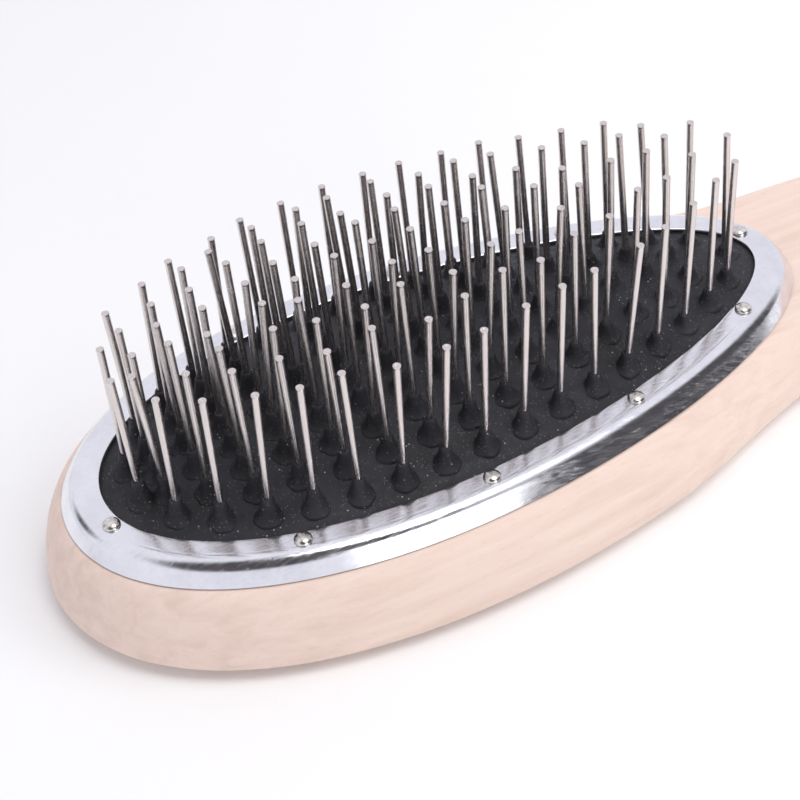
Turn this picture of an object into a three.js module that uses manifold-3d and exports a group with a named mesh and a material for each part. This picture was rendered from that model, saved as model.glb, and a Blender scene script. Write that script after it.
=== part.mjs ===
// A wooden-handled pet pin brush: an egg-shaped rubber air cushion carries rows of long blunt steel
// pins, and a pressed steel ring, nailed all round, clamps the cushion's rim onto the wooden head.
//
// Units are millimetres. +Z is the way the pins point, +X runs from the head's tip to the handle's
// end. The brush lies on its flat back, and the origin is the middle of its footprint at that face.
import * as THREE from 'three';
import { mergeVertices } from 'three/addons/utils/BufferGeometryUtils.js';
import Module from 'manifold-3d';

const wasm = await Module();
wasm.setup();

// ---- driving dimensions -------------------------------------------------------------------------
const OVERALL_LENGTH = 240;
const CLEARANCE = 0.3;              // hairline between pieces that touch

// cushion opening: an oval, wider at the tip than at the handle
const PAD_HALF_LENGTH = 59.2;
const PAD_HALF_WIDTH = 24;
const PAD_EGG = 0.177;              // how much wider the tip is, and how much narrower the heel is
const HEAD_MARGIN = 11.9;           // wood outside the cushion opening, at its widest level
const PAD_CENTRE_X = PAD_HALF_LENGTH + HEAD_MARGIN - OVERALL_LENGTH / 2;

// wooden body
const WOOD_THICKNESS = 15.6;
const WIDEST_LEVEL = 3.1;           // height at which the rounded side stands out furthest
const TOP_ROUNDING = 5.1;           // how far the side draws in at the top and at the back
const BACK_ROUNDING = 4.2;
const ROUNDNESS = 1.5;              // exponent of the side's curve: 2 is an ellipse, less is flatter
const POCKET_INSET = 1;             // the air chamber's wall lies just inside the cushion opening
const POCKET_DEPTH = 8;
const HANDLE_END_LENGTH = 18.8;     // the rounded end of the handle
const HANDLE_END_HALF_WIDTH = 16;
// the neck and handle: distance from the cushion's centre, half width
const HANDLE_OUTLINE = [[132, 15.2], [108, 16.6], [82, 19.9], [58, 22.1]];

// steel ring: a flat flange, a rounded shoulder, and a straight skirt that slopes down to the wood
const RING_TOP = 19.2;
const RING_THICKNESS = 0.5;
const RING_WIDTH = 6.7;
const FLANGE_WIDTH = 3;
const SKIRT_TILT = 57;              // degrees from the flange

// nails through the ring's flange, set by hand, so at uneven gaps
const NAIL_OUTSET = 1.8;
const NAIL_FIRST = 6;               // along the flange from the head's tip to the first nail
const NAIL_GAPS = [31, 30, 28, 28, 23, 32, 31, 31];
const NAIL_HEAD_RADIUS = 1.45;
const NAIL_HEAD_HEIGHT = 0.75;
const NAIL_SHANK_RADIUS = 0.5;
const NAIL_LENGTH = 10;

// rubber cushion
const RUBBER_THICKNESS = 2.5;
const RIM_WIDTH = 3.2;              // rubber trapped under the ring's flange
const RUBBER_RIM_TOP = RING_TOP - RING_THICKNESS - CLEARANCE;
const DOME_HEIGHT = 5.5;
const PIN_HOLE_RADIUS = 1.15;       // at the corners of a four-sided hole

// pins
const PIN_RADIUS = 0.58;
const PIN_HEIGHT = 25.3;            // from the cushion's surface to the tip
const PIN_FAN = 0.0026;             // outward lean of a pin, per millimetre from the middle line
// the pins fill an oval of their own, and its edge pins start on the middle line at the handle end
const FIELD_HALF_LENGTH = 54.5;
const FIELD_HALF_WIDTH = 19.8;
const FIELD_EGG = 0.21;
const EDGE_PINS = 35;
// least spacing of the pins in a row: it widens towards the handle, from a place near the middle
const PIN_PITCH = 4.65;
const PITCH_GROWTH = 0.026;
const PITCH_GROWTH_START = PAD_CENTRE_X - 11;

// each row's heads sit on a thin carrier strip under the rubber, over the backing cloth
const STRIP_THICKNESS = 0.8;
const STRIP_WIDTH = 1.6;
const STRIP_OVERHANG = 1;
const CLOTH_THICKNESS = 0.6;
const CLOTH_REACH = 0.95;           // the cloth's size as a part of the cushion's

// ---- materials ----------------------------------------------------------------------------------
const beech = new THREE.MeshStandardMaterial({ color: 0xe6cdb6, roughness: 0.6, metalness: 0 });
const chrome = new THREE.MeshStandardMaterial({ color: 0xd9d9e0, roughness: 0.15, metalness: 1 });
const nickel = new THREE.MeshStandardMaterial({ color: 0xc9c2b6, roughness: 0.25, metalness: 1 });
const steel = new THREE.MeshStandardMaterial({ color: 0xcfc6c2, roughness: 0.28, metalness: 1 });
const rubber = new THREE.MeshStandardMaterial({ color: 0x26272b, roughness: 0.7, metalness: 0 });
const cotton = new THREE.MeshStandardMaterial({ color: 0xb8b2a4, roughness: 0.95, metalness: 0 });

// ---- egg-shaped ovals ---------------------------------------------------------------------------
// A point of an egg-shaped oval. The angle runs anticlockwise from the handle end, and outset moves
// the point square to the curve, away from the middle.
function ovalPoint(centreX, halfLength, halfWidth, egg, angle, outset = 0) {
  const cos = Math.cos(angle);
  const sin = Math.sin(angle);
  const tangentX = -halfLength * sin;
  const tangentY = halfWidth * (cos * (1 - egg * cos) + egg * sin * sin);
  const speed = Math.hypot(tangentX, tangentY);
  return new THREE.Vector2(
    centreX + halfLength * cos + (outset * tangentY) / speed,
    halfWidth * sin * (1 - egg * cos) - (outset * tangentX) / speed,
  );
}

function padPoint(angle, outset = 0) {
  return ovalPoint(PAD_CENTRE_X, PAD_HALF_LENGTH, PAD_HALF_WIDTH, PAD_EGG, angle, outset);
}

function padLoop(steps, outset, z) {
  return Array.from({ length: steps }, (_, i) => {
    const point = padPoint((i / steps) * 2 * Math.PI, outset);
    return new THREE.Vector3(point.x, point.y, z);
  });
}

// Where a plan point lies between the cushion's middle, 0, and its edge, 1.
function padRadius(x, y) {
  const along = (x - PAD_CENTRE_X) / PAD_HALF_LENGTH;
  const across = y / (PAD_HALF_WIDTH * (1 - PAD_EGG * along));
  return Math.hypot(along, across);
}

// Height of the dome's top above its rim, at a plan point.
function domeRise(x, y) {
  return DOME_HEIGHT * Math.max(0, 1 - padRadius(x, y) ** 2);
}

// A loop of the dome, at a part of the cushion's size, with its base at the given height.
function domeLoop(steps, size, baseZ) {
  return Array.from({ length: steps }, (_, i) => {
    const angle = (i / steps) * 2 * Math.PI;
    const egg = PAD_EGG * size;
    const point = ovalPoint(PAD_CENTRE_X, PAD_HALF_LENGTH * size, PAD_HALF_WIDTH * size, egg, angle);
    return new THREE.Vector3(point.x, point.y, baseZ + domeRise(point.x, point.y));
  });
}

// Points at equal distances along a curve that is given by an angle.
function evenlySpaced(pointAt, fromAngle, toAngle, count) {
  const samples = 240;
  const points = Array.from({ length: samples + 1 }, (_, i) => (
    pointAt(fromAngle + ((toAngle - fromAngle) * i) / samples)
  ));
  return new THREE.SplineCurve(points).getSpacedPoints(count);
}

// ---- building and cutting solids ----------------------------------------------------------------
function indexedGeometry(vertices, triangles) {
  const geometry = new THREE.BufferGeometry();
  geometry.setAttribute('position', new THREE.BufferAttribute(new Float32Array(vertices), 3));
  geometry.setIndex(triangles);
  geometry.computeVertexNormals();
  return geometry;
}

// The skin through a list of loops that all have the same number of points. Each loop runs
// anticlockwise seen from above, and the list runs up the outside of the body. The ends are
// capped, unless the list closes on itself.
function loft(loops, closed = false) {
  const steps = loops[0].length;
  const vertices = loops.flat().flatMap((point) => [point.x, point.y, point.z]);
  const triangles = [];
  const bands = closed ? loops.length : loops.length - 1;
  for (let band = 0; band < bands; band += 1) {
    const low = band * steps;
    const high = ((band + 1) % loops.length) * steps;
    for (let i = 0; i < steps; i += 1) {
      const next = (i + 1) % steps;
      triangles.push(low + i, low + next, high + next);
      triangles.push(low + i, high + next, high + i);
    }
  }
  if (!closed) {
    const last = (loops.length - 1) * steps;
    for (const [a, b, c] of THREE.ShapeUtils.triangulateShape(loops[0], [])) {
      triangles.push(a, c, b);
    }
    for (const [a, b, c] of THREE.ShapeUtils.triangulateShape(loops.at(-1), [])) {
      triangles.push(last + a, last + b, last + c);
    }
  }
  return indexedGeometry(vertices, triangles);
}

function toSolid(geometry) {
  const bare = geometry.clone();
  bare.deleteAttribute('normal');
  bare.deleteAttribute('uv');
  const merged = mergeVertices(bare, 1e-4);
  return new wasm.Manifold(new wasm.Mesh({
    numProp: 3,
    vertProperties: new Float32Array(merged.attributes.position.array),
    triVerts: new Uint32Array(merged.index.array),
  }));
}

function toGeometry(solid) {
  const mesh = solid.getMesh();
  return indexedGeometry(mesh.vertProperties, Array.from(mesh.triVerts));
}

function namedMesh(name, geometry, material) {
  const mesh = new THREE.Mesh(geometry, material);
  mesh.name = name;
  return mesh;
}

// An upright cylinder or cone, between two heights.
function post(x, y, fromZ, toZ, radius, topRadius = radius, sides = 5) {
  const geometry = new THREE.CylinderGeometry(topRadius, radius, toZ - fromZ, sides);
  geometry.rotateX(Math.PI / 2);
  geometry.translate(x, y, (fromZ + toZ) / 2);
  return geometry;
}

// ---- wooden body --------------------------------------------------------------------------------
// Half of the plan outline at the widest level, from the handle's end to the head's tip.
function woodHalfOutline() {
  const points = [];
  const endCentreX = OVERALL_LENGTH / 2 - HANDLE_END_LENGTH;
  for (const angle of [0, 15, 30, 50, 70, 90].map(THREE.MathUtils.degToRad)) {
    points.push(new THREE.Vector2(
      endCentreX + HANDLE_END_LENGTH * Math.cos(angle),
      HANDLE_END_HALF_WIDTH * Math.sin(angle),
    ));
  }
  for (const [fromPadCentre, halfWidth] of HANDLE_OUTLINE) {
    points.push(new THREE.Vector2(PAD_CENTRE_X + fromPadCentre, halfWidth));
  }
  for (let degrees = 60; degrees <= 180; degrees += 10) {
    points.push(padPoint(THREE.MathUtils.degToRad(degrees), HEAD_MARGIN));
  }
  return new THREE.SplineCurve(points).getSpacedPoints(38);
}

// How far the side has drawn in from the widest outline, at a height above the flat back.
function sideInset(z) {
  const below = z < WIDEST_LEVEL;
  const reach = below ? WIDEST_LEVEL : WOOD_THICKNESS - WIDEST_LEVEL;
  const part = Math.abs(z - WIDEST_LEVEL) / reach;
  const depth = below ? BACK_ROUNDING : TOP_ROUNDING;
  return depth * (1 - Math.max(0, 1 - part ** ROUNDNESS) ** (1 / ROUNDNESS));
}

function woodLoop(outline, z) {
  const inset = sideInset(z);
  return outline.map((point, i) => {
    const before = outline.at(i - 1);
    const after = outline[(i + 1) % outline.length];
    const tangent = after.clone().sub(before).normalize();
    return new THREE.Vector3(point.x - inset * tangent.y, point.y + inset * tangent.x, z);
  });
}

function woodenBody(nailPlaces) {
  const half = woodHalfOutline();
  const otherHalf = half.slice(1, -1).reverse().map((point) => new THREE.Vector2(point.x, -point.y));
  const outline = [...half, ...otherHalf];
  const upperReach = WOOD_THICKNESS - WIDEST_LEVEL;
  const levels = [
    ...[0, 0.08, 0.4].map((part) => WIDEST_LEVEL * part),
    ...[0, 0.45, 0.72, 0.91, 1].map((part) => WIDEST_LEVEL + upperReach * part),
  ];
  const body = toSolid(loft(levels.map((z) => woodLoop(outline, z))));
  const floorZ = WOOD_THICKNESS - POCKET_DEPTH;
  const pocket = loft([floorZ, WOOD_THICKNESS + 1].map((z) => padLoop(44, -POCKET_INSET, z)));
  let cut = body.subtract(toSolid(pocket));
  for (const place of nailPlaces) {
    cut = cut.subtract(toSolid(nailHole(place)));
  }
  return namedMesh('wooden_body', toGeometry(cut), beech);
}

// ---- steel ring and its nails -------------------------------------------------------------------
function nailHole(place) {
  const bottomZ = RING_TOP - NAIL_LENGTH - CLEARANCE;
  return post(place.x, place.y, bottomZ, RING_TOP + 1, NAIL_SHANK_RADIUS + CLEARANCE);
}

// The nails follow a line round the flange, which starts at the head's tip and first runs along -Y.
function nailPlaces() {
  const spots = evenlySpaced((angle) => padPoint(angle, NAIL_OUTSET), Math.PI, 3 * Math.PI, 600);
  const marks = [NAIL_FIRST];
  NAIL_GAPS.forEach((gap) => marks.push(marks.at(-1) + gap));
  const places = [];
  let along = 0;
  spots.slice(1).forEach((spot, i) => {
    along += spot.distanceTo(spots[i]);
    if (along >= marks[places.length]) {
      places.push(spot);
    }
  });
  return places;
}

// The ring's section as outset from the cushion opening and height, anticlockwise. The shoulder is an
// arc that turns from the flange's slope to the skirt's, and its radius makes the two meet.
function ringSection() {
  const tilt = THREE.MathUtils.degToRad(SKIRT_TILT);
  const foot = WOOD_THICKNESS + CLEARANCE;
  const wide = RING_WIDTH - FLANGE_WIDTH;
  const tall = RING_TOP - foot;
  const radius = (wide * Math.tan(tilt) - tall) / (1 / Math.cos(tilt) - 1);
  // one face of the sheet, from its inner edge to its foot, at a depth below the outer face
  const face = (depth) => [
    [0, RING_TOP - depth],
    ...[0, tilt / 3, (tilt * 2) / 3, tilt].map((angle) => [
      FLANGE_WIDTH + (radius - depth) * Math.sin(angle),
      RING_TOP - radius + (radius - depth) * Math.cos(angle),
    ]),
    [RING_WIDTH - depth / Math.sin(tilt), foot],
  ];
  return [...face(RING_THICKNESS), ...face(0).reverse()];
}

function trimRing(places) {
  const steps = 48;
  let ring = toSolid(loft(ringSection().map(([outset, z]) => padLoop(steps, outset, z)), true));
  for (const place of places) {
    ring = ring.subtract(toSolid(nailHole(place)));
  }
  return namedMesh('trim_ring', toGeometry(ring), chrome);
}

// A nail with a domed head and a pointed shank, standing on the ring's flange.
function nail(name, place) {
  const profile = [
    [0, -NAIL_LENGTH],
    [NAIL_SHANK_RADIUS, -NAIL_LENGTH + 1.6],
    [NAIL_SHANK_RADIUS, 0],
    [NAIL_HEAD_RADIUS, 0],
    [NAIL_HEAD_RADIUS * 0.92, NAIL_HEAD_HEIGHT * 0.5],
    [NAIL_HEAD_RADIUS * 0.6, NAIL_HEAD_HEIGHT * 0.86],
    [0, NAIL_HEAD_HEIGHT],
  ].map(([radius, height]) => new THREE.Vector2(radius, height));
  const geometry = new THREE.LatheGeometry(profile, 8);
  geometry.rotateX(Math.PI / 2);
  const mesh = namedMesh(name, geometry, nickel);
  mesh.position.set(place.x, place.y, RING_TOP + CLEARANCE);
  return mesh;
}

// ---- pins ---------------------------------------------------------------------------------------
// Rows run straight across the brush, numbered from the tip. Their outermost pins are evenly spaced
// round the field's oval, and the last row, at the handle end, is a single pin.
function pinRows() {
  const fieldEdge = (angle) => (
    ovalPoint(PAD_CENTRE_X, FIELD_HALF_LENGTH, FIELD_HALF_WIDTH, FIELD_EGG, angle)
  );
  const even = evenlySpaced(fieldEdge, 0, 2 * Math.PI, EDGE_PINS);
  const oneSide = even.slice(0, Math.ceil(EDGE_PINS / 2)).reverse();
  return oneSide.map((edge) => {
    const pitch = PIN_PITCH + PITCH_GROWTH * Math.max(0, edge.x - PITCH_GROWTH_START);
    const gaps = Math.floor((2 * edge.y) / pitch);
    const pins = Array.from({ length: gaps + 1 }, (_, k) => (
      gaps === 0 ? 0 : edge.y * ((2 * k) / gaps - 1)
    ));
    return { x: edge.x, halfWidth: edge.y, pins };
  });
}

// Height of the rubber's underside at a plan point.
function undersideZ(x, y) {
  return RUBBER_RIM_TOP - RUBBER_THICKNESS + domeRise(x, y);
}

// The arched strip under the rubber that ties one row's pin heads together.
function carrierStrip(row) {
  const reach = row.halfWidth + STRIP_OVERHANG;
  const steps = Math.max(2, row.pins.length);
  const top = [];
  const bottom = [];
  for (let i = 0; i <= steps; i += 1) {
    const y = reach * ((2 * i) / steps - 1);
    const z = undersideZ(row.x, y) - CLEARANCE;
    top.push(new THREE.Vector2(y, z));
    bottom.unshift(new THREE.Vector2(y, z - STRIP_THICKNESS));
  }
  const shape = new THREE.Shape([...top, ...bottom].reverse());
  const geometry = new THREE.ExtrudeGeometry(shape, { depth: STRIP_WIDTH, bevelEnabled: false });
  geometry.translate(0, 0, -STRIP_WIDTH / 2);
  // the section was drawn in y and z: turn it upright, to run along the row
  geometry.applyMatrix4(new THREE.Matrix4().makeBasis(
    new THREE.Vector3(0, 1, 0),
    new THREE.Vector3(0, 0, 1),
    new THREE.Vector3(1, 0, 0),
  ));
  geometry.translate(row.x, 0, 0);
  return geometry;
}

// A post on a pin's own axis, which leans away from the middle line about the cushion's surface.
// The ends are given as heights from that surface.
function leaningPost(x, y, fromHeight, toHeight, radius, sides = 5) {
  const geometry = post(0, 0, fromHeight, toHeight, radius, radius, sides);
  geometry.rotateX(-PIN_FAN * y);
  geometry.translate(x, y, undersideZ(x, y) + RUBBER_THICKNESS);
  return geometry;
}

// A pin, from inside its row's strip to its tip.
function pin(x, y) {
  const foot = -RUBBER_THICKNESS - CLEARANCE - STRIP_THICKNESS / 2;
  return leaningPost(x, y, foot, PIN_HEIGHT, PIN_RADIUS);
}

function pinRow(name, row) {
  let solid = toSolid(carrierStrip(row));
  for (const y of row.pins) {
    solid = solid.add(toSolid(pin(row.x, y)));
  }
  return namedMesh(name, toGeometry(solid), steel);
}

// ---- cushion and backing cloth ------------------------------------------------------------------
function rubberCushion(rows, places) {
  const steps = 48;
  const rimBottom = RUBBER_RIM_TOP - RUBBER_THICKNESS;
  const sizes = [0.08, 0.36, 0.7, 1];
  const under = sizes.map((size) => domeLoop(steps, size, rimBottom));
  const rim = [padLoop(steps, RIM_WIDTH, rimBottom), padLoop(steps, RIM_WIDTH, RUBBER_RIM_TOP)];
  const over = sizes.toReversed().map((size) => domeLoop(steps, size, RUBBER_RIM_TOP));
  const blank = toSolid(loft([...under, ...rim, ...over]));
  const holes = places.map((place) => toSolid(nailHole(place)));
  for (const row of rows) {
    for (const y of row.pins) {
      holes.push(toSolid(leaningPost(row.x, y, -RUBBER_THICKNESS - 1, 1, PIN_HOLE_RADIUS, 4)));
    }
  }
  const solid = blank.subtract(wasm.Manifold.union(holes));
  return namedMesh('rubber_cushion', toGeometry(solid), rubber);
}

function backingCloth() {
  const steps = 36;
  const topBase = RUBBER_RIM_TOP - RUBBER_THICKNESS - 2 * CLEARANCE - STRIP_THICKNESS;
  const sizes = [0.1, 0.5, CLOTH_REACH];
  const under = sizes.map((size) => domeLoop(steps, size, topBase - CLOTH_THICKNESS));
  const over = sizes.toReversed().map((size) => domeLoop(steps, size, topBase));
  return namedMesh('backing_cloth', loft([...under, ...over]), cotton);
}

// ---- assembly -----------------------------------------------------------------------------------
const brush = new THREE.Group();
const places = nailPlaces();
const rows = pinRows();
const numbered = (stem, i) => `${stem}_${String(i + 1).padStart(2, '0')}`;

brush.add(woodenBody(places));
brush.add(trimRing(places));
places.forEach((place, i) => brush.add(nail(numbered('ring_nail', i), place)));
brush.add(rubberCushion(rows, places));
brush.add(backingCloth());
rows.forEach((row, i) => brush.add(pinRow(numbered('pin_row', i), row)));

export default brush;
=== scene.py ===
import math
import random

import bpy
from mathutils import Matrix, Vector


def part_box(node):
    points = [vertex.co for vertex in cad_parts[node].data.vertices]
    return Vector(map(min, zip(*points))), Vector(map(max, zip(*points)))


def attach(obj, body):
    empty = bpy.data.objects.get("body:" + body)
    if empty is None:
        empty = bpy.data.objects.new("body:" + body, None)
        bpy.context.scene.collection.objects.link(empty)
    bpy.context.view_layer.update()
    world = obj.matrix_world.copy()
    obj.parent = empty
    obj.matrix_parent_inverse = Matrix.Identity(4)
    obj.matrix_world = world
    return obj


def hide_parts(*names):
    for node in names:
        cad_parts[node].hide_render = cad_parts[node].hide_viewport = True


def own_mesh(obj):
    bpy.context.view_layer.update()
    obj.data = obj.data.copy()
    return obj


# A wooden pet pin brush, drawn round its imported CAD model. Lengths are in metres; MM turns
# millimetres into metres. +Z is the way the pins point, +X runs from the head's tip to the handle.
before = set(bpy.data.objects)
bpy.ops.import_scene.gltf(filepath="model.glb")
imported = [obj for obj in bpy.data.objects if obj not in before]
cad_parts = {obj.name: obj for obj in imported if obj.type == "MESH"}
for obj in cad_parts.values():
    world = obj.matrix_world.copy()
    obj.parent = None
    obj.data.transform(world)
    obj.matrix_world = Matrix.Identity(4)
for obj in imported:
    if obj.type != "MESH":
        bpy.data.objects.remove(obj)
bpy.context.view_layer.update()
MM = 0.001

# ---- sizes, from the CAD pieces' boxes and the design's driving dimensions ----------------------
RING_LOW, RING_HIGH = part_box("trim_ring")
WOOD_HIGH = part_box("wooden_body")[1]
RING_WIDTH = 6.7 * MM
RING_THICKNESS = 0.5 * MM
FLANGE_WIDTH = 3 * MM
SKIRT_TILT = math.radians(57)
RING_TOP = RING_HIGH.z
WOOD_TOP = WOOD_HIGH.z

PAD_CENTRE_X = (RING_LOW.x + RING_HIGH.x) / 2
PAD_HALF_LENGTH = (RING_HIGH.x - RING_LOW.x) / 2 - RING_WIDTH
PAD_HALF_WIDTH = 24 * MM
PAD_EGG = 0.177

HEAD_MARGIN = 11.9 * MM
WIDEST_LEVEL = 3.1 * MM
TOP_ROUNDING = 5.1 * MM
BACK_ROUNDING = 4.2 * MM
SIDE_ROUNDNESS = 1.5
HANDLE_END_LENGTH = 18.8 * MM
HANDLE_END_HALF_WIDTH = 16 * MM
# mm from the pad's centre, and the half width there
HANDLE_OUTLINE = ((132, 15.2), (108, 16.6), (82, 19.9), (58, 22.1))
POCKET_INSET = 1 * MM
POCKET_DEPTH = 8 * MM
EDGE_HOLD = 0.5 * MM                    # a loop this far in keeps the wood's rounded edge crisp

RUBBER_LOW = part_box("rubber_cushion")[0]
RUBBER_THICKNESS = 2.5 * MM
RUBBER_RIM_TOP = RUBBER_LOW.z + RUBBER_THICKNESS
RIM_WIDTH = 3.2 * MM
DOME_HEIGHT = 5.5 * MM

PIN_HEIGHT = 25.3 * MM
PIN_FAN = 2.6                           # outward lean, radians per metre from the middle line
PIN_GATHER = 0.8                        # lean towards the row at GATHER_X, radians per metre from it
BACK_GATHER = 30                        # and how much that grows, per metre towards the back
GATHER_X = PAD_CENTRE_X - 13 * MM
PIN_STRAY = math.radians(1.3)           # how far a pin strays from its proper lean
NAIL_HEAD_RADIUS = 1.45 * MM
NAIL_HEAD_HEIGHT = 0.85 * MM
NAIL_HEAD_EDGE = 0.08 * MM              # the upright edge under the head's dome
NAIL_SHANK_RADIUS = 0.5 * MM
NAIL_POINT_LENGTH = 1.6 * MM
NAIL_POINT_RADIUS = 0.02 * MM
SEAT_GAP = 0.02 * MM                    # between a nail's head and the flange


# ---- egg-shaped ovals ---------------------------------------------------------------------------
def oval_point(half_length, half_width, egg, angle, outset=0.0):
    """A plan point of an egg-shaped oval round the pad's centre, moved outwards by outset."""
    cos, sin = math.cos(angle), math.sin(angle)
    tangent_x = -half_length * sin
    tangent_y = half_width * (cos * (1 - egg * cos) + egg * sin * sin)
    speed = math.hypot(tangent_x, tangent_y)
    x = PAD_CENTRE_X + half_length * cos + outset * tangent_y / speed
    y = half_width * sin * (1 - egg * cos) - outset * tangent_x / speed
    return x, y


def pad_loop(steps, outset, z):
    turns = (2 * math.pi * i / steps for i in range(steps))
    plan = (oval_point(PAD_HALF_LENGTH, PAD_HALF_WIDTH, PAD_EGG, turn, outset) for turn in turns)
    return [(x, y, z) for x, y in plan]


def dome_rise(x, y):
    along = (x - PAD_CENTRE_X) / PAD_HALF_LENGTH
    across = y / (PAD_HALF_WIDTH * (1 - PAD_EGG * along))
    return DOME_HEIGHT * max(0.0, 1 - along ** 2 - across ** 2)


def dome_loop(steps, size, base_z):
    loop = []
    for i in range(steps):
        turn = 2 * math.pi * i / steps
        x, y = oval_point(PAD_HALF_LENGTH * size, PAD_HALF_WIDTH * size, PAD_EGG * size, turn)
        loop.append((x, y, base_z + dome_rise(x, y)))
    return loop


# ---- mesh making --------------------------------------------------------------------------------
def new_piece(name, vertices, faces, material, sharp_degrees=35):
    mesh = bpy.data.meshes.new(name)
    mesh.from_pydata(vertices, [], faces)
    mesh.validate()
    mesh.update()
    for polygon in mesh.polygons:
        polygon.use_smooth = True
    mesh.set_sharp_from_angle(angle=math.radians(sharp_degrees))
    piece = bpy.data.objects.new(name, mesh)
    bpy.context.scene.collection.objects.link(piece)
    piece.data.materials.append(material)
    return piece


class Shape:
    """Vertices and faces of one piece, gathered from lofted parts."""

    def __init__(self):
        self.vertices = []
        self.faces = []

    def loft(self, loops, closed=False, place=None):
        """The skin through loops of equal length, capped at its ends unless it closes on itself."""
        steps = len(loops[0])
        first = len(self.vertices)
        for loop in loops:
            for point in loop:
                self.vertices.append(tuple(place @ Vector(point)) if place else tuple(point))
        bands = len(loops) if closed else len(loops) - 1
        for band in range(bands):
            low = first + band * steps
            high = first + (band + 1) % len(loops) * steps
            for i in range(steps):
                after = (i + 1) % steps
                self.faces.append((low + i, low + after, high + after, high + i))
        if not closed:
            last = first + (len(loops) - 1) * steps
            self.faces.append(tuple(first + i for i in reversed(range(steps))))
            self.faces.append(tuple(last + i for i in range(steps)))

    def turned(self, profile, sides, place):
        """A body of revolution about its own Z axis, from (radius, height) pairs."""
        loops = []
        for radius, height in profile:
            turns = (2 * math.pi * i / sides for i in range(sides))
            loops.append([(radius * math.cos(t), radius * math.sin(t), height) for t in turns])
        self.loft(loops, place=place)

    def piece(self, name, material, sharp_degrees=35):
        return new_piece(name, self.vertices, self.faces, material, sharp_degrees)


# ---- materials ----------------------------------------------------------------------------------
class Surface:
    """A material with short ways to add and join its nodes."""

    def __init__(self, name):
        self.material = bpy.data.materials.new(name)
        self.material.use_nodes = True
        self.nodes = self.material.node_tree.nodes
        self.links = self.material.node_tree.links
        self.shader = self.nodes["Principled BSDF"]
        self.place = self.nodes.new("ShaderNodeTexCoord").outputs["Object"]

    def set(self, **values):
        for name, value in values.items():
            self.shader.inputs[name.replace("_", " ")].default_value = value

    def join(self, source, node, socket):
        self.links.new(source, node.inputs[socket])

    def stretched(self, scale):
        node = self.nodes.new("ShaderNodeMapping")
        node.inputs["Scale"].default_value = scale
        self.join(self.place, node, "Vector")
        return node.outputs["Vector"]

    def noise(self, scale, detail=4, roughness=0.55, stretch=None, distortion=0.0):
        node = self.nodes.new("ShaderNodeTexNoise")
        node.inputs["Scale"].default_value = scale
        node.inputs["Detail"].default_value = detail
        node.inputs["Roughness"].default_value = roughness
        node.inputs["Distortion"].default_value = distortion
        self.join(self.stretched(stretch) if stretch else self.place, node, "Vector")
        return node.outputs["Fac"]

    def cells(self, scale, stretch=None):
        node = self.nodes.new("ShaderNodeTexVoronoi")
        node.inputs["Scale"].default_value = scale
        self.join(self.stretched(stretch) if stretch else self.place, node, "Vector")
        return node.outputs["Distance"]

    def ramp(self, source, *stops):
        """Colours along a 0-1 value: stops are (position, colour) pairs."""
        node = self.nodes.new("ShaderNodeValToRGB")
        elements = node.color_ramp.elements
        while len(elements) < len(stops):
            elements.new(0.5)
        for element, (position, colour) in zip(elements, stops):
            element.position = position
            element.color = (*colour, 1)
        self.join(source, node, "Fac")
        return node.outputs["Color"]

    def steps(self, source, low, high, from_value=0.0, to_value=1.0):
        node = self.nodes.new("ShaderNodeMapRange")
        node.inputs["From Min"].default_value = low
        node.inputs["From Max"].default_value = high
        node.inputs["To Min"].default_value = from_value
        node.inputs["To Max"].default_value = to_value
        self.join(source, node, "Value")
        return node.outputs["Result"]

    def mix(self, amount, first, second, blend="MIX"):
        node = self.nodes.new("ShaderNodeMix")
        node.data_type = "RGBA"
        node.blend_type = blend
        for value, socket in ((amount, 0), (first, 6), (second, 7)):
            if isinstance(value, (int, float)):
                node.inputs[socket].default_value = value
            elif isinstance(value, tuple):
                node.inputs[socket].default_value = (*value, 1)
            else:
                self.links.new(value, node.inputs[socket])
        return node.outputs[2]

    def bump(self, height, strength, distance, under=None):
        node = self.nodes.new("ShaderNodeBump")
        node.inputs["Strength"].default_value = strength
        node.inputs["Distance"].default_value = distance
        self.join(height, node, "Height")
        if under:
            self.join(under, node, "Normal")
        return node.outputs["Normal"]

    def finish(self, colour=None, roughness=None, normal=None):
        for source, socket in ((colour, "Base Color"), (roughness, "Roughness"), (normal, "Normal")):
            if source:
                self.join(source, self.shader, socket)
        return self.material


def beech():
    """Pale unvarnished wood, with grain along X, short darker flecks and a sanded surface."""
    wood = Surface("beech")
    grain = wood.noise(1, 6, 0.6, stretch=(28, 420, 420), distortion=0.6)
    bands = wood.noise(1, 3, 0.5, stretch=(9, 75, 75), distortion=1.2)
    flecks = wood.cells(1, stretch=(260, 1500, 1500))
    blotches = wood.noise(38, 3)
    colour = wood.ramp(grain, (0.3, (0.77, 0.59, 0.50)), (0.5, (0.84, 0.66, 0.57)),
                       (0.72, (0.89, 0.72, 0.63)))
    colour = wood.mix(wood.steps(bands, 0.4, 0.75, 0.0, 0.14), colour, (0.81, 0.6, 0.5))
    colour = wood.mix(wood.steps(blotches, 0.45, 0.8, 0.0, 0.25), colour, (0.88, 0.7, 0.63))
    colour = wood.mix(wood.steps(flecks, 0.0, 0.22, 0.3, 0.0), colour, (0.62, 0.42, 0.33))
    roughness = wood.steps(grain, 0.2, 0.8, 0.5, 0.72)
    fine = wood.noise(1, 5, 0.7, stretch=(300, 2600, 2600))
    normal = wood.bump(fine, 0.35, 0.12 * MM, wood.bump(grain, 0.3, 0.1 * MM))
    return wood.finish(colour, roughness, normal)


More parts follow.
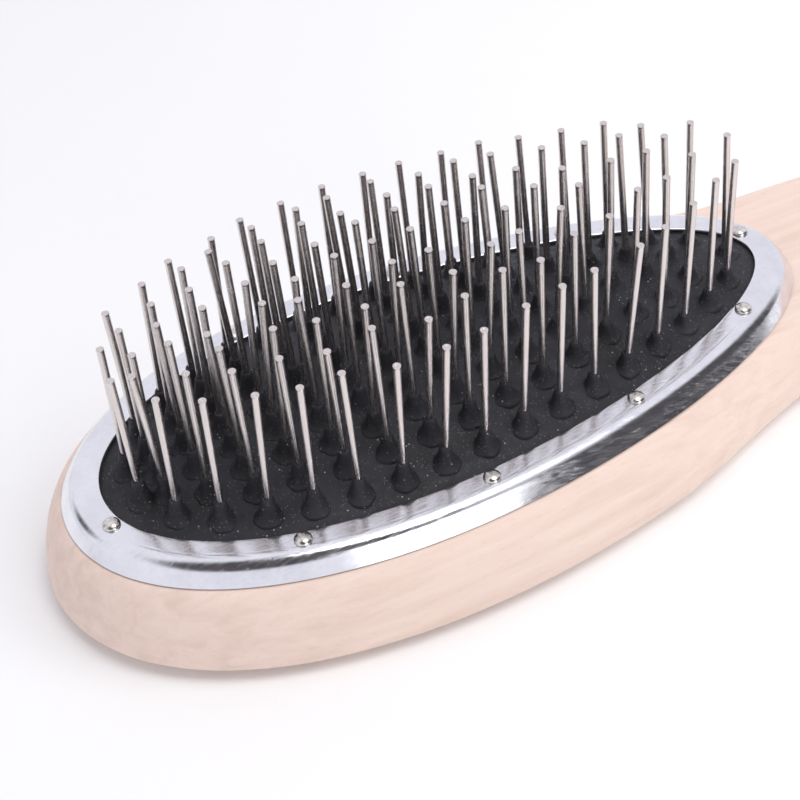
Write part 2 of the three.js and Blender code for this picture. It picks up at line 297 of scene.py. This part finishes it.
def chrome():
    """Bright pressed sheet, gently wavy, with fine handling marks."""
    metal = Surface("chrome")
    metal.set(Metallic=1.0)
    waves = metal.noise(95, 2)
    marks = metal.noise(1, 6, 0.75, stretch=(900, 2200, 2200))
    scuffs = metal.noise(1, 5, 0.7, stretch=(260, 2600, 900), distortion=0.8)
    colour = metal.ramp(metal.noise(240, 3), (0.3, (0.80, 0.80, 0.85)), (0.7, (0.88, 0.88, 0.92)))
    colour = metal.mix(metal.steps(marks, 0.52, 0.7, 0.0, 0.25), colour, (0.62, 0.61, 0.63))
    roughness = metal.steps(scuffs, 0.4, 0.7, 0.1, 0.3)
    fine = metal.bump(scuffs, 0.16, 0.06 * MM, metal.bump(marks, 0.1, 0.05 * MM))
    normal = metal.bump(waves, 0.15, 0.5 * MM, fine)
    return metal.finish(colour, roughness, normal)


def nickel():
    metal = Surface("nickel")
    metal.set(Metallic=1.0)
    stain = metal.noise(1500, 4)
    colour = metal.ramp(stain, (0.35, (0.55, 0.52, 0.48)), (0.6, (0.8, 0.77, 0.73)))
    roughness = metal.steps(stain, 0.3, 0.7, 0.32, 0.16)
    return metal.finish(colour, roughness, metal.bump(stain, 0.2, 0.05 * MM))


def pin_steel():
    """Drawn wire: polished, with faint marks along its length."""
    metal = Surface("pin_steel")
    metal.set(Metallic=1.0)
    drawn = metal.noise(1, 4, 0.6, stretch=(4200, 4200, 260))
    colour = metal.ramp(drawn, (0.3, (0.66, 0.60, 0.58)), (0.65, (0.76, 0.71, 0.69)))
    roughness = metal.steps(drawn, 0.25, 0.75, 0.2, 0.3)
    return metal.finish(colour, roughness, metal.bump(drawn, 0.04, 0.02 * MM))


def black_rubber():
    """Matt moulded rubber with a scatter of pale dust."""
    rubber = Surface("black_rubber")
    rubber.set(Specular_IOR_Level=0.3)
    skin = rubber.noise(900, 5, 0.6)
    cloudy = rubber.noise(130, 3)
    colour = rubber.ramp(cloudy, (0.3, (0.018, 0.018, 0.021)), (0.75, (0.034, 0.034, 0.041)))
    for size, patches, limit in ((2300, 420, 0.4), (1000, 300, 0.52), (430, 260, 0.6)):
        specks = rubber.steps(rubber.cells(size), 0.07, 0.13, 0.75, 0.0)
        shown = rubber.steps(rubber.noise(patches, 2), limit, limit + 0.06)
        colour = rubber.mix(rubber.mix(1.0, specks, shown, "MULTIPLY"), colour, (0.55, 0.55, 0.56))
    roughness = rubber.steps(skin, 0.25, 0.75, 0.42, 0.68)
    lumps = rubber.bump(rubber.noise(420, 3, 0.6), 0.45, 0.3 * MM)
    return rubber.finish(colour, roughness, rubber.bump(skin, 0.35, 0.08 * MM, lumps))


def cotton():
    """Plain-woven backing cloth."""
    cloth = Surface("cotton")
    threads = []
    for bands_direction in ("X", "Y"):
        wave = cloth.nodes.new("ShaderNodeTexWave")
        wave.bands_direction = bands_direction
        wave.inputs["Scale"].default_value = 320
        wave.inputs["Distortion"].default_value = 0.6
        cloth.join(cloth.place, wave, "Vector")
        threads.append(wave.outputs["Fac"])
    weave = cloth.mix(1.0, threads[0], threads[1], "MULTIPLY")
    colour = cloth.ramp(weave, (0.1, (0.34, 0.31, 0.26)), (0.6, (0.66, 0.62, 0.54)))
    roughness = cloth.steps(cloth.noise(600), 0.3, 0.7, 0.8, 0.95)
    return cloth.finish(colour, roughness, cloth.bump(weave, 0.6, 0.15 * MM))


def card(name, dark, light):
    """Matt studio paper or card, with a faint variation between two greys."""
    sheet = Surface(name)
    colour = sheet.ramp(sheet.noise(6, 2), (0.3, (dark, dark, dark)), (0.7, (light, light, light)))
    sheet.set(Roughness=0.9)
    return sheet.finish(colour)


# ---- wooden body --------------------------------------------------------------------------------
def closed_curve(points, per_span):
    """A smooth closed curve through plan points, with per_span points to each span."""
    curve = []
    count = len(points)
    for i in range(count):
        a, b, c, d = (Vector(points[k % count]) for k in range(i - 1, i + 3))
        for step in range(per_span):
            t = step / per_span
            curve.append(0.5 * (2 * b + (c - a) * t + (2 * a - 5 * b + 4 * c - d) * t ** 2
                                + (3 * b - a - 3 * c + d) * t ** 3))
    return curve


def wood_outline():
    """The plan outline at the widest level, anticlockwise from the handle's end."""
    end_x = WOOD_HIGH.x - HANDLE_END_LENGTH
    points = []
    for degrees in (0, 15, 30, 50, 70, 90):
        turn = math.radians(degrees)
        points.append((end_x + HANDLE_END_LENGTH * math.cos(turn),
                       HANDLE_END_HALF_WIDTH * math.sin(turn)))
    points += [(PAD_CENTRE_X + x * MM, y * MM) for x, y in HANDLE_OUTLINE]
    for degrees in range(60, 181, 10):
        turn = math.radians(degrees)
        points.append(oval_point(PAD_HALF_LENGTH, PAD_HALF_WIDTH, PAD_EGG, turn, HEAD_MARGIN))
    points += [(x, -y) for x, y in reversed(points[1:-1])]
    return closed_curve(points, per_span=7)


def side_inset(z):
    below = z < WIDEST_LEVEL
    reach = WIDEST_LEVEL if below else WOOD_TOP - WIDEST_LEVEL
    part = min(1.0, abs(z - WIDEST_LEVEL) / reach)
    depth = BACK_ROUNDING if below else TOP_ROUNDING
    return depth * (1 - (1 - part ** SIDE_ROUNDNESS) ** (1 / SIDE_ROUNDNESS))


def inset_outline(outline, inset, z):
    loop = []
    for i, point in enumerate(outline):
        tangent = (outline[(i + 1) % len(outline)] - outline[i - 1]).normalized()
        loop.append((point.x - inset * tangent.y, point.y + inset * tangent.x, z))
    return loop


def wooden_body():
    outline = wood_outline()
    lower_steps, upper_steps = 9, 16
    levels = [WIDEST_LEVEL * (1 - math.cos(math.pi / 2 * i / lower_steps))
              for i in range(lower_steps)]
    upper = WOOD_TOP - WIDEST_LEVEL
    levels += [WIDEST_LEVEL + upper * math.sin(math.pi / 2 * i / upper_steps)
               for i in range(upper_steps + 1)]
    loops = [inset_outline(outline, side_inset(z), z) for z in levels]
    loops.append(inset_outline(outline, TOP_ROUNDING + EDGE_HOLD, WOOD_TOP))
    # the air chamber under the cushion: each outline point is carried to the chamber's own oval
    chamber = []
    for point in outline:
        turn = math.atan2(point.y / PAD_HALF_WIDTH, (point.x - PAD_CENTRE_X) / PAD_HALF_LENGTH)
        chamber.append(oval_point(PAD_HALF_LENGTH, PAD_HALF_WIDTH, PAD_EGG, turn, -POCKET_INSET))
    loops += [[(x, y, z) for x, y in chamber] for z in (WOOD_TOP, WOOD_TOP - POCKET_DEPTH)]
    shape = Shape()
    shape.loft(loops)
    return shape.piece("wooden_body_fine", beech(), 40)


# ---- steel ring and nails -----------------------------------------------------------------------
def ring_section():
    """The ring's section as (outset from the cushion opening, height): up the skirt and over the
    shoulder, in across the flange to its rounded inner edge, and back along the underside."""
    wide, tall = RING_WIDTH - FLANGE_WIDTH, RING_TOP - RING_LOW.z
    radius = (wide * math.tan(SKIRT_TILT) - tall) / (1 / math.cos(SKIRT_TILT) - 1)

    def shoulder_and_skirt(depth, arc_steps, skirt_steps):
        angles = (SKIRT_TILT * i / arc_steps for i in range(arc_steps + 1))
        arc = [(FLANGE_WIDTH + (radius - depth) * math.sin(a),
                RING_TOP - radius + (radius - depth) * math.cos(a)) for a in angles]
        start = Vector(arc[-1])
        foot = Vector((RING_WIDTH - depth / math.sin(SKIRT_TILT), RING_LOW.z))
        return arc + [tuple(start.lerp(foot, (i + 1) / skirt_steps)) for i in range(skirt_steps)]

    groove = [(FLANGE_WIDTH - out * MM, RING_TOP - deep * MM) for out, deep in
              ((0.1, 0.008), (0.2, 0.02), (0.3, 0.008), (0.4, 0))]
    flange = [(share * FLANGE_WIDTH, RING_TOP) for share in (0.75, 0.5, 0.25)]
    lip = [(out * MM, RING_TOP - deep * MM) for out, deep in
           ((0.3, 0.01), (0.12, 0.05), (0.03, 0.14), (0, 0.26))]
    underside = [(0.03 * MM, RING_TOP - RING_THICKNESS)]
    underside += shoulder_and_skirt(RING_THICKNESS, arc_steps=6, skirt_steps=2)
    outside = shoulder_and_skirt(0, arc_steps=18, skirt_steps=6)[::-1]
    return outside + groove + flange + lip + underside


def trim_ring():
    steps = 288
    shape = Shape()
    shape.loft([pad_loop(steps, outset, z) for outset, z in ring_section()], closed=True)
    return shape.piece("trim_ring_fine", chrome(), 60)


def nail(node, material):
    """A domed nail, standing where the CAD nail stands."""
    low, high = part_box(node)
    x, y = (low.x + high.x) / 2, (low.y + high.y) / 2
    seat = RING_TOP + SEAT_GAP
    dome_foot = seat + NAIL_HEAD_EDGE
    dome = NAIL_HEAD_HEIGHT - NAIL_HEAD_EDGE
    profile = [
        (NAIL_POINT_RADIUS, low.z),
        (NAIL_SHANK_RADIUS, low.z + NAIL_POINT_LENGTH),
        (NAIL_SHANK_RADIUS, seat),
        (NAIL_HEAD_RADIUS * 0.96, seat),
        (NAIL_HEAD_RADIUS, dome_foot),
    ]
    for degrees in range(10, 91, 10):
        turn = math.radians(degrees)
        radius = max(NAIL_HEAD_RADIUS * math.cos(turn), 0.01 * MM)
        profile.append((radius, dome_foot + dome * math.sin(turn)))
    shape = Shape()
    shape.turned(profile, 28, Matrix.Translation((x, y, 0)))
    return shape.piece(node + "_fine", material, 50)


# ---- rubber cushion -----------------------------------------------------------------------------
def rubber_cushion(material):
    steps, bands = 240, 24
    sizes = [0.02] + [i / bands for i in range(1, bands + 1)]
    base = RUBBER_RIM_TOP - RUBBER_THICKNESS
    loops = [dome_loop(steps, size, base) for size in sizes]
    loops += [pad_loop(steps, RIM_WIDTH, base), pad_loop(steps, RIM_WIDTH, RUBBER_RIM_TOP)]
    loops += [dome_loop(steps, size, RUBBER_RIM_TOP) for size in reversed(sizes)]
    shape = Shape()
    shape.loft(loops)
    return shape.piece("rubber_cushion_fine", material, 50)


# ---- pins and their nipples ---------------------------------------------------------------------
PIN_ROWS = 18
TIP_LEVEL = WOOD_TOP + 20 * MM          # only the pins' upper ends reach above this
PIN_WIDTH_LIMIT = 2 * MM                # tip points further apart than this are on separate pins


def pin_feet(node):
    """Where a row's pins pass the cushion's surface, found from the tips of the CAD row."""
    low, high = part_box(node)
    row_x = (low.x + high.x) / 2
    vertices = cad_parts[node].data.vertices
    tip_ys = sorted(vertex.co.y for vertex in vertices if vertex.co.z > TIP_LEVEL)
    groups = [[tip_ys[0]]]
    for y in tip_ys[1:]:
        if y - groups[-1][-1] > PIN_WIDTH_LIMIT:
            groups.append([])
        groups[-1].append(y)
    middles = [(group[0] + group[-1]) / 2 for group in groups]
    return [(row_x, y / (1 + PIN_HEIGHT * PIN_FAN)) for y in middles]


# radius and height of a nipple and of a pin, in mm from the cushion's surface
NIPPLE_PROFILE = (
    (2.5, -0.8), (2.5, -0.28), (2.36, -0.14), (2.2, -0.03), (2.02, 0.1), (1.84, 0.27),
    (1.64, 0.52), (1.46, 0.86), (1.3, 1.3), (1.16, 1.82), (1.05, 2.36), (0.96, 2.8),
    (0.86, 3.04), (0.74, 3.14), (0.6, 3.12), (0.56, 3.0),
)
PIN_PROFILE = (
    (1.1, -3.05), (1.15, -2.9), (1.1, -2.75), (0.58, -2.6), (0.58, 0.0), (0.58, 5.0), (0.58, 12.0),
    (0.58, 20.0), (0.58, 24.8), (0.59, 25.0), (0.62, 25.12), (0.63, 25.21), (0.6, 25.28), (0.48, 25.3),
    (0.3, 25.24), (0.12, 25.2),
)
NIPPLE_HEIGHT = 1.05                    # at the pad's centre, as a share of the profile's height
NIPPLE_SHRINK = 5.5                     # how much that share drops, per metre towards the handle
NIPPLE_UNEVENNESS = 0.1                 # and how far it strays from that
NIPPLE_STRAIGHTENED = 0.3               # how much less a nipple leans than its pin, as a share
NIPPLE_NECK = 0.5                       # mm; near this radius a nipple is truly round
ROW_SEED_BASE = 100                     # a row's seed is this and its number


def pin_lean(x, y, stray):
    """How a pin leans: outwards across the brush, and in along it towards the row at GATHER_X."""
    along = -(PIN_GATHER + BACK_GATHER * y) * (x - GATHER_X) + stray.gauss(0, PIN_STRAY)
    across = -PIN_FAN * y + stray.gauss(0, PIN_STRAY)
    return Matrix.Rotation(along, 4, "Y") @ Matrix.Rotation(across, 4, "X")


def nipple(shape, place, height, lumps):
    """A hand-trimmed rubber cone round a pin's foot, a little out of round."""
    sides = 24
    waves = [(lobes, lumps.uniform(0, 2 * math.pi), lumps.uniform(0.01, 0.035))
             for lobes in (2, 3, 5, 7)]
    loops = []
    for radius, level in NIPPLE_PROFILE:
        loop = []
        for i in range(sides):
            turn = 2 * math.pi * i / sides
            swell = 1 + sum(size * math.sin(lobes * turn + phase + level)
                            for lobes, phase, size in waves)
            wide = radius * (1 + (swell - 1) * min(1, radius - NIPPLE_NECK))
            raised = level * height if level > 0 else level
            loop.append((wide * math.cos(turn), wide * math.sin(turn), raised))
        loops.append(loop)
    shape.loft(loops, place=place)


def pin_row(number, steel, rubber):
    node = f"pin_row_{number:02d}"
    body = f"row_{number:02d}"
    stray = random.Random(ROW_SEED_BASE + number)
    pins, nipples = Shape(), Shape()
    for x, y in pin_feet(node):
        foot = Matrix.Translation((x, y, RUBBER_RIM_TOP + dome_rise(x, y)))
        lean = pin_lean(x, y, stray)
        pins.turned(PIN_PROFILE, 16, foot @ lean @ Matrix.Scale(MM, 4))
        height = (NIPPLE_HEIGHT - NIPPLE_SHRINK * (x - PAD_CENTRE_X)
                  + stray.uniform(-NIPPLE_UNEVENNESS, NIPPLE_UNEVENNESS))
        upright = lean.lerp(Matrix.Identity(4), NIPPLE_STRAIGHTENED)
        nipple(nipples, foot @ upright @ Matrix.Scale(MM, 4), height, stray)
    pins = pins.piece(node + "_fine", steel, 40)
    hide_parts(node)
    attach(pins, body)
    nipples = nipples.piece(f"nipples_{number:02d}", rubber, 60)
    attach(nipples, body)


# ---- the brush ----------------------------------------------------------------------------------
wood = wooden_body()
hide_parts("wooden_body")
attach(wood, "head")

ring = trim_ring()
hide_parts("trim_ring")
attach(ring, "head")

nail_metal = nickel()
for node in sorted(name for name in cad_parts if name.startswith("ring_nail_")):
    piece = nail(node, nail_metal)
    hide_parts(node)
    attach(piece, "head")

rubber = black_rubber()
cushion = rubber_cushion(rubber)
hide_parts("rubber_cushion")
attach(cushion, "head")
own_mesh(cushion)

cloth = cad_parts["backing_cloth"]
cloth.data.materials.clear()
cloth.data.materials.append(cotton())

steel = pin_steel()
for number in range(1, PIN_ROWS + 1):
    pin_row(number, steel, rubber)


# ---- floor, light and camera --------------------------------------------------------------------
FLOOR_GAP = 0.05 * MM                   # keeps the floor clear of the brush's flat back


def studio_floor():
    half = 4
    corners = [(-half, -half, 0), (half, -half, 0), (half, half, 0), (-half, half, 0)]
    floor = new_piece("floor", corners, [(0, 1, 2, 3)], card("floor_paper", 0.93, 0.95))
    floor.location.z = -FLOOR_GAP


def bearing(azimuth, elevation):
    """A unit vector: azimuth turns from the front, -Y, towards +X, in degrees."""
    turn, rise = math.radians(azimuth), math.radians(elevation)
    return Vector((math.sin(turn) * math.cos(rise), -math.cos(turn) * math.cos(rise), math.sin(rise)))


def soft_light(name, azimuth, elevation, distance, size, power, mirrored=True):
    """A square area light that faces the brush's head from a bearing. The metal needn't mirror it."""
    light = bpy.data.lights.new(name, "AREA")
    light.shape = "SQUARE"
    light.size = size
    light.energy = power
    lamp = bpy.data.objects.new(name, light)
    lamp.visible_glossy = mirrored
    way = bearing(azimuth, elevation)
    lamp.location = Vector((PAD_CENTRE_X, 0, RING_TOP)) + distance * way
    lamp.rotation_mode = "QUATERNION"
    lamp.rotation_quaternion = way.to_track_quat("Z", "Y")
    bpy.context.scene.collection.objects.link(lamp)


# what the bright metal mirrors as dark: azimuth, elevation, half angle, all in degrees
DARK_PATCHES = ((-27, 56, 31), (53, 17, 32), (-128, 24, 10))
PATCH_SOFTNESS = 6
PALE_WALL = (0.93, 0.93, 1.0, 1)
DARK_WALL = (0.09, 0.085, 0.09, 1)


def studio_surroundings(strength):
    """Pale walls all round. The metal also mirrors dark patches, which the camera doesn't see: above
    the viewer, on the right and behind the tip."""
    world = bpy.data.worlds.new("studio_surroundings")
    world.use_nodes = True
    nodes, links = world.node_tree.nodes, world.node_tree.links
    background = nodes["Background"]
    background.inputs["Strength"].default_value = strength
    direction = nodes.new("ShaderNodeTexCoord").outputs["Generated"]
    colour = None
    for azimuth, elevation, half_angle in DARK_PATCHES:
        facing = nodes.new("ShaderNodeVectorMath")
        facing.operation = "DOT_PRODUCT"
        facing.inputs[1].default_value = bearing(azimuth, elevation)
        links.new(direction, facing.inputs[0])
        inside = nodes.new("ShaderNodeMapRange")
        inside.inputs["From Min"].default_value = math.cos(math.radians(half_angle + PATCH_SOFTNESS))
        inside.inputs["From Max"].default_value = math.cos(math.radians(half_angle - PATCH_SOFTNESS))
        links.new(facing.outputs["Value"], inside.inputs["Value"])
        shade = nodes.new("ShaderNodeMix")
        shade.data_type = "RGBA"
        shade.inputs[6].default_value = PALE_WALL
        shade.inputs[7].default_value = DARK_WALL
        links.new(inside.outputs["Result"], shade.inputs[0])
        if colour:
            links.new(colour, shade.inputs[6])
        colour = shade.outputs[2]
    seen = nodes.new("ShaderNodeMix")
    seen.data_type = "RGBA"
    seen.inputs[7].default_value = PALE_WALL
    links.new(nodes.new("ShaderNodeLightPath").outputs["Is Camera Ray"], seen.inputs[0])
    links.new(colour, seen.inputs[6])
    links.new(seen.outputs[2], background.inputs["Color"])
    bpy.context.scene.world = world


# the camera's place and turn, as azimuth and elevation of its back, and roll, in degrees
CAMERA_PLACE = (PAD_CENTRE_X - 73 * MM, -164.8 * MM, RING_TOP + 169.5 * MM)
CAMERA_AZIMUTH = -21.34
CAMERA_ELEVATION = 44.46
CAMERA_ROLL = -6.3
CAMERA_LENS = 67.7


def main_camera():
    camera = bpy.data.cameras.new("camera")
    camera.lens = CAMERA_LENS
    camera.sensor_width = 36
    camera.clip_start = 0.01
    camera.clip_end = 20
    holder = bpy.data.objects.new("camera", camera)
    bpy.context.scene.collection.objects.link(holder)
    roll = math.radians(CAMERA_ROLL)
    back = bearing(CAMERA_AZIMUTH, CAMERA_ELEVATION)
    right = Vector((0, 0, 1)).cross(back).normalized()
    up = back.cross(right)
    rolled_right = math.cos(roll) * right + math.sin(roll) * up
    rolled_up = back.cross(rolled_right)
    axes = Matrix((rolled_right, rolled_up, back)).transposed()
    holder.matrix_world = Matrix.Translation(CAMERA_PLACE) @ axes.to_4x4()
    bpy.context.scene.camera = holder


studio_floor()
studio_surroundings(strength=0.93)
soft_light("overhead", azimuth=40, elevation=74, distance=0.8, size=0.35, power=1.9)
soft_light("front", azimuth=10, elevation=26, distance=0.8, size=0.4, power=0.9)
soft_light("side", azimuth=60, elevation=42, distance=0.9, size=0.4, power=2.3, mirrored=False)
main_camera()
bpy.context.scene.view_settings.view_transform = "Standard"
